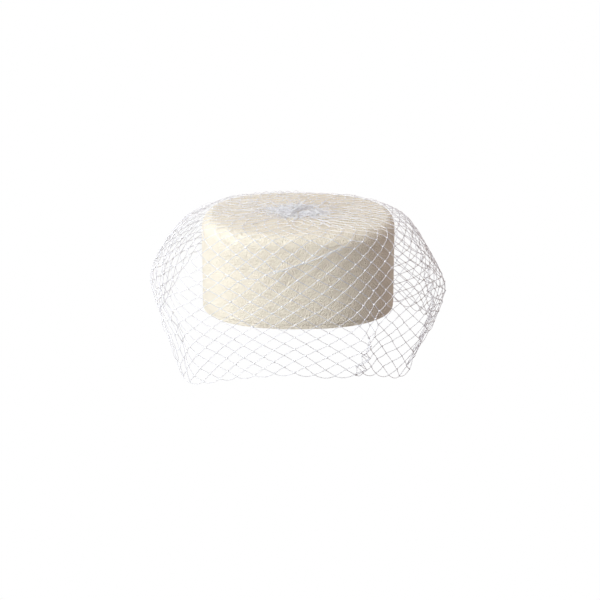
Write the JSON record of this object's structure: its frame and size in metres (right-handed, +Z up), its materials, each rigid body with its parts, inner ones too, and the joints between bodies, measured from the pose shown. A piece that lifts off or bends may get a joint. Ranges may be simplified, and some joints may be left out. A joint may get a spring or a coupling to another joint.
{
  "type": "pillbox hat with a birdcage veil",
  "caption": "Cream felt pillbox hat, hollow and open below, under a short white diamond-net veil gathered on its top and hanging past the rim.",
  "frame": {"origin": "middle of the rim plane, where the hat sits on the head", "axes": "+Z up through the top, -Y the front of the hat, +X the hat's right as the picture shows it, along which the veil is widest"},
  "size_m": [0.2769, 0.2114, 0.1566],
  "materials": {
    "cream_felt": "thick soft wool felt with a short fuzzy nap, matt cream",
    "edge_felt": "the same felt folded over at the rim, matt cream, a little darker in the fold",
    "white_net": "fine knotted veiling thread, white with a soft sheen"
  },
  "bodies": {
    "root": {"crown": "cream_felt", "edge_band": "edge_felt", "veil_net": "white_net"}
  },
  "joints": []
}
